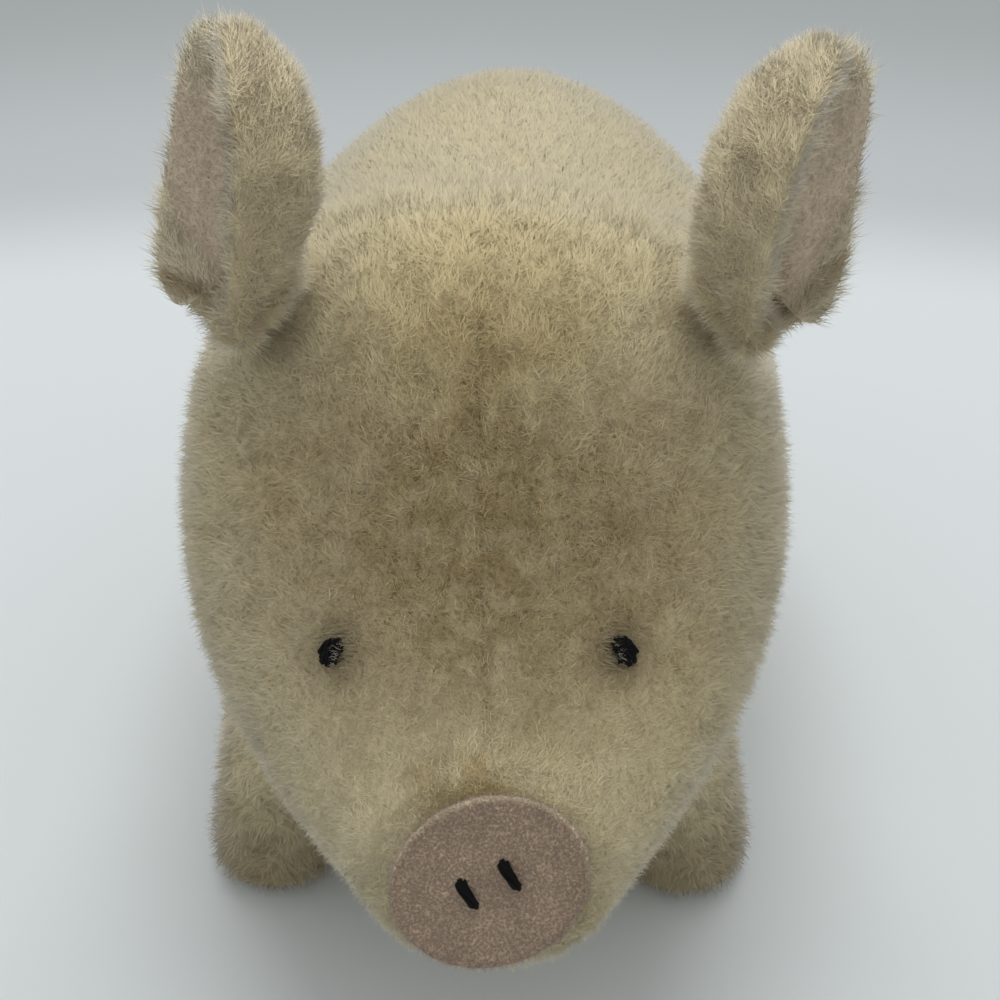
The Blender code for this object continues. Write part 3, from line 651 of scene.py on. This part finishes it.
snoutFringe = dict(longHairs, Density=1.3e7, Length=0.0016, Width=0.00009, Comb=uncombed, Flow=0.8)


def outwardOf(backing):  # pile grows on a panel's outside, and on its rim at the snout
    def cover(point, normal):
        near, way, face, distance = backing.find_nearest(point)
        facing = way.dot(normal)
        outer = max(easeOver(distance, 0.0004, 0.0007), easeOver(facing, 0.1, 0.3))
        return max(easeOver(facing, -0.50, -0.10) * outer, easeOver(-point.y, *plush["snoutFront"]))
    return cover


def awayFrom(backing):
    def way(point, normal):
        away = backing.find_nearest(point)[1]
        atSeam = easeOver(abs(point.x), *plush["seamBand"])
        return (away * (1.6 + 6.0 * atSeam) + normal).normalized()
    return way


def clearOf(nodeName):
    form = treeOf(nodeName)

    def mask(point):
        near, normal, face, distance = form.find_nearest(point)
        return 0.0 if (point - near).dot(normal) < plush["clearance"] else 1.0

    return mask


outsideHead = clearOf("head_stuffing")
outsideBody = clearOf("body_stuffing")
bodyForm = treeOf("body_stuffing")


def hollow(point):
    depth = 0.0
    for spot in eyeSpots.values():
        depth += math.exp(-((point - spot).length / plush["hollowWidth"]) ** 2)
    return depth * plush["hollowDepth"]


def faceMask(point):
    ratio, height = inDisc(point, -plush["bareDisc"])
    if ratio < 1.0 and height > -0.004:
        return 0.0
    for side, spot in eyeSpots.items():
        if (point - spot - Vector((0.0007 * sides[side], 0.0, 0.0))).length < plush["bareEye"]:
            return 0.0
    return outsideBody(point)


def faceLength(point):
    length = plush["faceLength"] + (1.0 - plush["faceLength"]) * easeOver(point.y, *plush["faceBand"])
    for side, spot in eyeSpots.items():
        offset = point - spot
        near = 1.0 - easeOver(offset.length, *plush["eyeBand"])
        length *= 1.0 - near * (0.15 + 0.40 * easeOver(offset.x * sides[side], -0.0010, 0.0010))
    return length


def neckReach(point):
    return Vector((0.0, plush["reach"] * easeOver(point.y, *plush["neckBand"]), 0.0))


def legReach(point):
    return Vector((0.0, 0.0, plush["reach"] * easeOver(point.z, *plush["legBand"])))


def legLength(point):
    return 0.3 + 0.7 * easeOver(point.z, 0.0008, 0.0040)


def dressPanel(nodeName, backingName, finish, layers, seed, reach=None, drawnTo=None, **more):
    backing = treeOf(backingName)
    shape = mergedCopy(nodeName)
    shape.normal_update()
    moved = []
    for vert in shape.verts:
        near, normal, face, distance = backing.find_nearest(vert.co)
        away = (vert.co - near).normalized()
        sideways = vert.normal - away * vert.normal.dot(away)
        extra = (reach(vert.co) if reach else Vector()) + sideways * plush["rimGrowth"]
        place = near + (vert.co - near) * plush["clothShare"] + extra
        if drawnTo:
            anchor, out, face, distance = drawnTo.find_nearest(place)
            slack = max((place - anchor).dot(out) - plush["neckHold"], 0.0)
            slack *= easeOver(place.y, *plush["pullBand"])
            place -= out * min(slack, plush["neckPull"])
        moved.append((vert, place, normal))
    for vert, place, normal in moved:
        vert.co = place - normal * hollow(place)
    return dressed(nodeName, shape, "pig", finish, seeded(layers, seed), outwardOf(backing),
                   way=awayFrom(backing), tufts=plush["tufts"], **more)


fringe = {"eyeShift": (-0.0016, 0.0002), "eyeReach": (0.0022, 0.0008), "discInner": (0.97, 1.03),
          "discOuter": (1.40, 1.15), "discDepth": (-0.0070, -0.0035), "discLean": 0.45}


def fringeEye(cloth, side, seed):
    across, up = fringe["eyeShift"]
    spot = eyeSpots[side] + Vector((across * sides[side], 0.0, up))

    def cover(point, normal):
        away = math.hypot(point.x - spot.x, point.z - spot.z)
        return easeOver(away, *fringe["eyeReach"]) * easeOver(-normal.y, 0.1, 0.3)

    settings = dict(eyeFringe, Comb=(1.5 * sides[side], 0.0, -0.4), Seed=seed)
    fringed(side + "EyeFringe", cloth, "pig", creamPlush, settings, cover)


def fringeSnout(cloth, side, seed):
    def cover(point, normal):
        ratio, height = inDisc(point)
        ring = easeOver(ratio, *fringe["discInner"]) * easeOver(ratio, *fringe["discOuter"])
        return ring * easeOver(height, *fringe["discDepth"])

    def way(point, normal):
        radial = point - disc["centre"]
        radial -= disc["out"] * radial.dot(disc["out"])
        return (radial.normalized() + disc["out"] * fringe["discLean"] + normal * 0.3).normalized()

    settings = dict(snoutFringe, Seed=seed)
    fringed(side + "SnoutFringe", cloth, "pig", snoutPlush, settings, cover, way)


headFit = {"reach": neckReach, "mask": faceMask, "length": faceLength}
for number, side in enumerate(sides):
    cloth = dressPanel("head_" + side + "_panel", "head_stuffing", creamPlush, headLayers, 110 + 10 * number,
                       drawnTo=bodyForm, **headFit)
    fringeEye(cloth, side, 350 + number)
    fringeSnout(cloth, side, 360 + number)
    dressPanel("body_" + side + "_panel", "body_stuffing", bodyPlush, bodyLayers, 210 + 10 * number,
               mask=outsideHead)
cloth = dressPanel("chin_panel", "head_stuffing", creamPlush, chinLayers, 130, **headFit)
fringeSnout(cloth, "chin", 370)
dressPanel("belly_panel", "body_stuffing", creamPlush, bellyLayers, 230, mask=outsideHead)
print("head and body dressed")

legNames = [end + "_" + side + "_leg" for end in ("front", "rear") for side in sides]
for number, leg in enumerate(legNames):
    dressPanel(leg + "_cover", leg + "_stuffing", creamPlush, legLayers, 310 + 10 * number, legReach,
               mask=outsideBody, length=legLength)
print("legs dressed")


# soles, of plain woven cloth

soleLook = {"colour": rgb(186, 172, 138), "threads": 330.0, "bump": 0.6}


def makeSoleCloth():
    material, tree, shader = newMaterial("soleCloth", 0.92, 0.1)
    weave = wire(tree, "ShaderNodeGroup", node_tree=plainWeave)
    weave.inputs["Threads"].default_value = soleLook["threads"]
    worn = between(tree, noise(tree, objectPoint(tree), 350.0, 3.0)[0], 0.35, 0.7, 0.72, 1.0)
    lit = times(tree, worn, calc(tree, "MULTIPLY_ADD", weave.outputs["Height"], 0.12, 0.82))
    tree.links.new(scaled(tree, soleLook["colour"][:3], lit), shader.inputs["Base Color"])
    bumped(tree, shader, weave.outputs["Height"], soleLook["bump"], 0.0002)
    return material


soleFinish = {"slot": "sole_cloth", "cloth": makeSoleCloth()}
for leg in legNames:
    title = camel(leg) + "Sole"
    sole = placed(title + "Draft", meshOf(title, mergedCopy(leg + "_sole")))
    refine(sole, 2)
    finished(applied(title, sole), "pig", soleFinish, leg + "_sole")


# ears: mohair backs, short pink lining

ears = {
    "sink": 0.0009,
    "sinkBand": (0.0004, 0.0016),
    "tufts": (0.0026, 0.0009),
    "seamFacing": (-0.80, -0.50),  # pile stops where a face looks at the other cloth, closer than the gap
    "backGap": 0.0015, "liningGap": 0.0012,
    "uplift": 0.70,  # the mohair stands up
    "lean": 0.6,  # and leans over the seam with the lining
    "leanBand": (0.0035, 0.0008),
    "trimBand": (0.0005, 0.0040),
    "liningTop": 0.1240, "topBand": (-0.0010, 0.0025), "rimBand": (-0.0004, 0.0010),
    "tuftFacing": (-0.85, -0.45), "tuftBand": (0.0030, 0.0018), "overhang": 0.8,
    # a point (x, z) of the line that the mohair laps over to, and its way
    "leftRim": ((0.0436, 0.1110), (0.912, -0.409)),
    "rightRim": ((-0.0396, 0.1109), (-0.881, -0.475)),
}
mohairLook = {"sheen": 0.8, "Root shade": 0.99, "Dirt": 0.0, "Yellowing": 0.6, "Clean": rgb(255, 239, 195)}
mohairClothLook = {**clothLook, "depth": 0.4, "Root shade": 0.7, "Dirt": 0.0, "Yellowing": 0.6,
                   "Clean": rgb(248, 234, 198)}
rimLook = {**mohairLook, "sheen": 0.25, "Yellowing": 0.2, "Clean": rgb(250, 240, 208)}
pinkLook = {"sheen": 0.3, "Root shade": 0.85, "Dirt": 0.0, "Yellowing": 0.0, "Clean": rgb(245, 226, 198)}
earMohair = {"slot": "cream_plush", "pile": pileMaterial("earMohair", mohairLook),
             "cloth": clothMaterial("earCloth", mohairClothLook)}
rimMohair = {"slot": "cream_plush", "pile": pileMaterial("earRimMohair", rimLook)}
pinkPlush = {"slot": "pink_lining", "pile": pileMaterial("pinkPile", pinkLook),
             "cloth": clothMaterial("pinkCloth", dict(pinkLook, depth=0.5, fineness=3000.0, bump=0.6))}
mohair = {
    "Underwool": {**underwool, "Density": 1.2e7, "Width": 0.00011, "Comb": uncombed, "Flow": 1.1,
                  "Hair shading": 0.15},
    "Hairs": {**longHairs, "Density": 1.65e7, "Width": 0.00008, "Comb": uncombed, "Flow": 1.0, "Jitter": 0.6,
              "Clump size": 0.0014, "Clump pull": 0.45, "Plain share": 0.95, "Hair shading": 0.15},
}
rimTufts = dict(mohair["Hairs"], Density=1.25e7, Width=0.00010)
liningPile = {"Fuzz": dict(underwool, Density=9e6, Length=0.0010, Width=0.00010, Flow=0.7,
                           Comb=(0.0, 0.0, 0.5))}


def lookAcross(other, point, normal):  # how squarely a face looks at the other cloth, and from how far
    near, way, face, distance = other.find_nearest(point)
    facing = (near - point).normalized().dot(normal) if distance > 1e-6 else 1.0
    return facing, distance


def coverBeside(other, gap):
    def cover(point, normal):
        facing, distance = lookAcross(other, point, normal)
        return easeOver(-facing, *ears["seamFacing"]) if distance < gap else 1.0
    return cover


def dressEar(side, seed):
    body = side + "_ear"
    lining = treeOf(body + "_lining")
    back = treeOf(body + "_back")
    shape = mergedCopy(body + "_back")
    shape.normal_update()
    sunk = [(vert, vert.normal.copy(), lining.find_nearest(vert.co)[3]) for vert in shape.verts]
    for vert, normal, distance in sunk:
        vert.co -= normal * ears["sink"] * easeOver(distance, *ears["sinkBand"])

    def way(point, normal):
        near, lined, face, distance = lining.find_nearest(point)
        over = Vector()
        if distance > 1e-6:
            over = (near - point).normalized() * ears["lean"] * easeOver(distance, *ears["leanBand"])
        return (normal + over + Vector((0.0, 0.0, ears["uplift"]))).normalized()

    def trimmed(point):
        return 0.70 + 0.30 * easeOver(lining.find_nearest(point)[3], *ears["trimBand"])

    backCover = coverBeside(lining, ears["backGap"])
    dressed(body + "_back", shape, body, earMohair, seeded(mohair, seed), backCover, length=trimmed, way=way,
            tufts=ears["tufts"])

    # mohair of the back laps over the lining's lower outer edge and its top, with a rough border
    start, across = ears[side + "Rim"]

    def overRim(point):
        past = (point.x - start[0]) * across[0] + (point.z - start[1]) * across[1]
        rough = 0.0012 * math.sin(point.x * 2600.0) + 0.0008 * math.sin(point.x * 6100.0 + point.z * 3300.0)
        top = easeOver(point.z + rough - ears["liningTop"], *ears["topBand"])
        return max(easeOver(past, *ears["rimBand"]), top)

    liningCover = coverBeside(back, ears["liningGap"])

    # and stands in a band along the seam, where the back lies beside the lining and no longer behind it
    def tuftCover(point, normal):
        facing, distance = lookAcross(back, point, normal)
        seam = easeOver(facing, *ears["tuftFacing"]) * easeOver(distance, *ears["tuftBand"])
        return max(liningCover(point, normal) * overRim(point), seam)

    def tuftWay(point, normal):
        outwards = Vector((0.7 * sides[side], 0.0, 1.0)) * ears["overhang"] * overRim(point)
        return (normal + outwards + Vector((0.0, 0.0, ears["uplift"]))).normalized()

    shape = mergedCopy(body + "_lining")
    cloth = dressed(body + "_lining", shape, body, pinkPlush, seeded(liningPile, seed + 5), liningCover,
                    mask=lambda point: 1.0 - 0.8 * overRim(point))
    settings = dict(rimTufts, Seed=seed + 7)
    fringed(camel(body) + "RimTufts", cloth, body, rimMohair, settings, tuftCover, tuftWay)


dressEar("left", 410)
dressEar("right", 430)
print("ears dressed")


# tail

tailPile = {"Pile": dict(underwool, Density=8e6, Length=0.0016, Width=0.00016, Comb=(0.0, 0.3, 0.2))}
dressed("tail", mergedCopy("tail"), "curled_tail", creamPlush, seeded(tailPile, 510),
        lambda point, normal: 1.0, levels=1)


# felt snout disc: pressed wool with a pebbled face, and a painted highlight along its edge, strongest at the
# top

felt = {
    # the edge colour is a painted highlight
    "colour": rgb(189, 162, 136), "edge": rgb(228, 208, 170), "grain": 2900.0, "bump": 1.0,
    # rows of faces cut into the flat front, so that it can be uneven
    "rings": 7, "ringWidth": 0.0013, "tufts": (0.004, 0.00035),
}
feltFuzzLook = {**pinkLook, "sheen": 0.2, "Root shade": 0.9, "Clean": rgb(204, 180, 162)}
feltFuzz = dict(longHairs, Density=2e7, Length=0.0007, Width=0.00006, Jitter=1.2, Comb=uncombed, Seed=610)


def makeFelt():
    material, tree, shader = newMaterial("snoutFelt", 0.95, 0.25)
    at = objectPoint(tree)
    grain = between(tree, noise(tree, at, felt["grain"], 3.0, 0.6)[0], 0.34, 0.66)
    wide = between(tree, noise(tree, at, 260.0, 3.0, 0.6)[0], 0.3, 0.7, 0.86, 1.04)
    shade = times(tree, wide, calc(tree, "MULTIPLY_ADD", grain, 0.56, 0.56))
    # painted highlight: the disc's edge is lighter, most of all along its upper side
    colour = blendColour(tree, attribute(tree, "rim"), felt["colour"], felt["edge"])
    tree.links.new(scaled(tree, colour, shade), shader.inputs["Base Color"])
    bumped(tree, shader, grain, felt["bump"], 0.00025)
    return material


def makeDisc():
    shape = mergedCopy("snout_disc")
    bmesh.ops.dissolve_limit(shape, angle_limit=0.02, verts=shape.verts[:], edges=shape.edges[:])
    for flat in [face for face in shape.faces if len(face.verts) > 8]:
        for ring in range(felt["rings"]):
            bmesh.ops.inset_region(shape, faces=[flat], thickness=felt["ringWidth"], use_even_offset=True)
    piece = placed("snoutDiscDraft", meshOf("snoutDiscDraft", shape))
    refine(piece, 2)
    tufted(piece, *felt["tufts"])
    piece = applied("snoutDisc", piece)
    # painted highlight along the edge, strong at the top and weak at the bottom
    rim = piece.data.attributes.new("rim", "FLOAT", "POINT")
    for index, vert in enumerate(piece.data.vertices):
        upper = easeOver((vert.co - disc["centre"]).dot(disc["up"]), -0.006, 0.006)
        edge = easeOver(inDisc(vert.co)[0], 0.93 + 0.04 * (1.0 - upper), 0.985)
        rim.data[index].value = edge * (0.25 + 0.75 * upper)
    finish = {"slot": "felt", "pile": pileMaterial("feltFuzz", feltFuzzLook), "cloth": makeFelt()}
    fringed("snoutDiscFuzz", piece, "pig", finish, feltFuzz,
            lambda point, normal: easeOver(inDisc(point)[0], 0.90, 0.98))
    finished(piece, "pig", finish, "snout_disc")


makeDisc()


# stitches of black thread: eyes and nostrils

thread = {"ply": 0.00019, "plies": 3, "turns": 700.0, "steps": 22, "colour": (0.0035, 0.0033, 0.0033)}
# each strand has its shift in mm, its lean in degrees, half its length in mm and its height in mm
nostril = {
    "turn": 0.105, "rise": 0.0, "sink": 0.0012,
    "strands": ((-0.36, 3, 2.0, 0.0), (0.0, -1, 2.3, 0.0), (0.38, -4, 1.8, 0.0)),
}
eye = {
    "out": (0.21, -0.838, 0.503), "turn": 24.0, "rise": 0.0005, "sink": 0.0006,
    "leftShift": Vector((0.0007, 0.0, 0.0005)), "rightShift": Vector(),
    "strands": ((-1.05, -6, 1.0, 0.0), (-0.651, 5, 1.55, 0.0), (-0.21, -4, 1.95, 0.0), (0.231, 6, 1.9, 0.0),
                (0.651, -5, 1.5, 0.0), (1.05, 4, 0.95, 0.0), (0.0, 14, 1.2, 0.22)),
}
caughtHairs = {**eyeFringe, "Density": 1.7e7, "Length": 0.0011, "Width": 0.00009, "Comb": uncombed}


def makeThread():
    material, tree, shader = newMaterial("blackThread", 0.75)
    lint = between(tree, noise(tree, objectPoint(tree), 5200.0, 3.0, 0.7)[0], 0.35, 0.75, 0.6, 3.2)
    tree.links.new(scaled(tree, thread["colour"], lint), shader.inputs["Base Color"])
    bumped(tree, shader, lint, 0.5, 0.00006)
    return material


blackThread = {"slot": "black_thread", "cloth": makeThread()}


def turned(way, axis, degrees):
    return Matrix.Rotation(math.radians(degrees), 3, axis) @ way


def sewn(name, middle, upright, out, look, replaced):
    curve = bpy.data.curves.new(name, "CURVE")
    curve.dimensions = "3D"
    curve.bevel_depth = thread["ply"]
    curve.bevel_resolution = 1
    curve.use_fill_caps = True
    steps, plies = thread["steps"], thread["plies"]
    beside = upright.cross(out).normalized()
    for number, (shift, lean, length, height) in enumerate(look["strands"]):
        start = middle + beside * shift * 0.001 + out * height * 0.001
        half = length * 0.001
        along = turned(upright, out, lean)
        across = along.cross(out).normalized()
        for ply in range(plies):
            spline = curve.splines.new("POLY")
            spline.points.add(steps)
            for step in range(steps + 1):
                share = 2.0 * step / steps - 1.0
                turn = share * half * thread["turns"] + 2.0 * math.pi * ply / plies + number
                arch = 1.0 - abs(share) ** 5
                lift = look["rise"] * arch - look["sink"] * (1.0 - arch)
                spot = start + along * share * half + out * lift
                spot += (across * math.cos(turn) + out * math.sin(turn)) * thread["ply"] * 0.95
                spline.points[step].co = (*spot, 1.0)
    piece = applied(name, placed(name + "Draft", curve))
    return finished(piece, "pig", blackThread, replaced)


def catchHairs(stitched, side, middle, out, seed):  # hairs of the face caught over an eye's inner side
    lean = (out * 0.30 + Vector((sides[side], 0.0, -0.25))).normalized()

    def cover(point, normal):
        inner = (middle.x - point.x) * sides[side] - 0.25 * (point.z - middle.z)
        return easeOver(inner, 0.0005, 0.0013) * easeOver(normal.dot(out), 0.0, 0.4)

    fringed(side + "EyeHairs", stitched, "pig", creamPlush, dict(caughtHairs, Seed=seed), cover,
            lambda point, normal: lean)


def sewNostril(side):
    turn = disc["roll"] + nostril["turn"]
    upright = (disc["up"] * math.cos(turn) - Vector((1.0, 0.0, 0.0)) * math.sin(turn)).normalized()
    nodeName = side + "_nostril"
    sewn(side + "NostrilStitch", middleOf(nodeName), upright, disc["out"], nostril, nodeName)


def sewEye(side, sign):
    middle = middleOf(side + "_eye") + eye[side + "Shift"]
    out = Vector((eye["out"][0] * sign, *eye["out"][1:])).normalized()
    upright = (Vector((0.0, 0.0, 1.0)) - out * out.z).normalized()
    upright = turned(upright, out, eye["turn"] * sign)
    stitches = sewn(side + "EyeStitches", middle, upright, out, eye, side + "_eye")
    catchHairs(stitches, side, middle, out, 642 + int(sign))


for side, sign in sides.items():
    sewNostril(side)
    sewEye(side, sign)
print("face finished")


# padding inside the covers, swollen by a short cloth simulation under pressure

padding = {"voxel": 0.0044, "pressure": 4.0, "frames": 16, "mostSwell": 0.0009, "fill": 0.9}


def swell(name, piece):
    still = [vert.co.copy() for vert in piece.data.vertices]
    swelling = piece.modifiers.new("swelling", "CLOTH")
    swelling.settings.use_pressure = True
    swelling.settings.uniform_pressure_force = padding["pressure"]
    swelling.settings.effector_weights.gravity = 0.0
    swelling.point_cache.frame_end = padding["frames"]
    for step in range(1, padding["frames"] + 1):
        scene.frame_set(step)
    piece = applied(name, piece)
    scene.frame_set(1)
    for vert, start in zip(piece.data.vertices, still):
        moved = vert.co - start
        if moved.length > padding["mostSwell"]:
            vert.co = start + moved.normalized() * padding["mostSwell"]
    return piece


def pad(nodeName):
    title = camel(nodeName.replace("stuffing", "padding"))
    shape = mergedCopy(nodeName)
    bmesh.ops.recalc_face_normals(shape, faces=shape.faces[:])
    piece = placed(nodeName + "Draft", meshOf(nodeName + "Draft", shape))
    voxels = piece.modifiers.new("voxels", "REMESH")
    voxels.mode = "VOXEL"
    voxels.voxel_size = padding["voxel"]
    piece = applied(nodeName + "Swelling", piece)
    piece = swell(nodeName + "Swollen", piece)
    refine(piece, 1)
    piece = finished(applied(title, piece), "pig", {**creamPlush, "slot": "stuffing"}, nodeName)


for nodeName in ["body_stuffing", "head_stuffing"] + [leg + "_stuffing" for leg in legNames]:
    pad(nodeName)
print("padding swollen")


# the floor, with painted shade where a backdrop would stand, the light and the camera

# the paper darkens in two steps with distance from a point in front of the pig: painted shade of a backdrop
# out of the light
stageLook = {"near": rgb(218, 224, 226), "middle": rgb(189, 194, 196), "far": rgb(165, 170, 171),
             "reach": 6.0, "centre": (0.0, -0.45, 0.0), "bend": (0.595, 0.662), "behind": (0.652, 0.81)}
lightLook = {"wall": rgb(140, 145, 147), "sky": 0.6, "power": 3.7, "size": 0.6, "place": (0.0, 0.22, 0.9),
             "way": (0.0, -0.22, -0.84)}
cameraLook = {"place": (0.012718, -0.240423, 0.206404), "way": (-0.04715, 0.81779, -0.57358),
              "lens": 64.8, "nearest": 0.01}


def makeFloor():
    shape = bmesh.new()
    bmesh.ops.create_grid(shape, x_segments=4, y_segments=4, size=stageLook["reach"])
    floor = placed("studioFloor", meshOf("studioFloor", shape))
    material, tree, shader = newMaterial("studioPaper", 0.9)
    away = vec(tree, "DISTANCE", objectPoint(tree), stageLook["centre"])
    # painted shade: darker bands beyond the pig, where a backdrop would stand
    bend = between(tree, away, *stageLook["bend"])
    behind = between(tree, away, *stageLook["behind"])
    paper = blendColour(tree, bend, stageLook["near"], stageLook["middle"])
    tree.links.new(blendColour(tree, behind, paper, stageLook["far"]), shader.inputs["Base Color"])
    painted(floor, material)


def makeAir():
    world = bpy.data.worlds.new("studioAir")
    scene.world = world
    world.use_nodes = True
    tree = world.node_tree
    backdrop = tree.nodes["Background"]
    rays = wire(tree, "ShaderNodeLightPath").outputs
    mirrored = calc(tree, "MAXIMUM", rays["Is Glossy Ray"], rays["Is Transmission Ray"])
    seen = calc(tree, "MAXIMUM", rays["Is Camera Ray"], mirrored)
    sky = (lightLook["sky"],) * 3 + (1.0,)
    tree.links.new(blendColour(tree, seen, sky, lightLook["wall"]), backdrop.inputs["Color"])


def aimed(holder, look):
    holder.location = look["place"]
    holder.rotation_mode = "QUATERNION"
    holder.rotation_quaternion = Vector(look["way"]).to_track_quat("-Z", "Y")


makeFloor()
makeAir()

lamp = bpy.data.lights.new("keyLamp", "AREA")
lamp.shape = "DISK"
lamp.size = lightLook["size"]
lamp.energy = lightLook["power"]
aimed(placed("keyLamp", lamp), lightLook)

camera = bpy.data.cameras.new("camera")
camera.lens = cameraLook["lens"]
camera.clip_start = cameraLook["nearest"]
cameraHolder = placed("camera", camera)
aimed(cameraHolder, cameraLook)
scene.camera = cameraHolder
scene.view_settings.view_transform = "Standard"

for item in list(shelf.objects):
    bpy.data.objects.remove(item)
bpy.data.collections.remove(shelf)
print("stage and camera set")
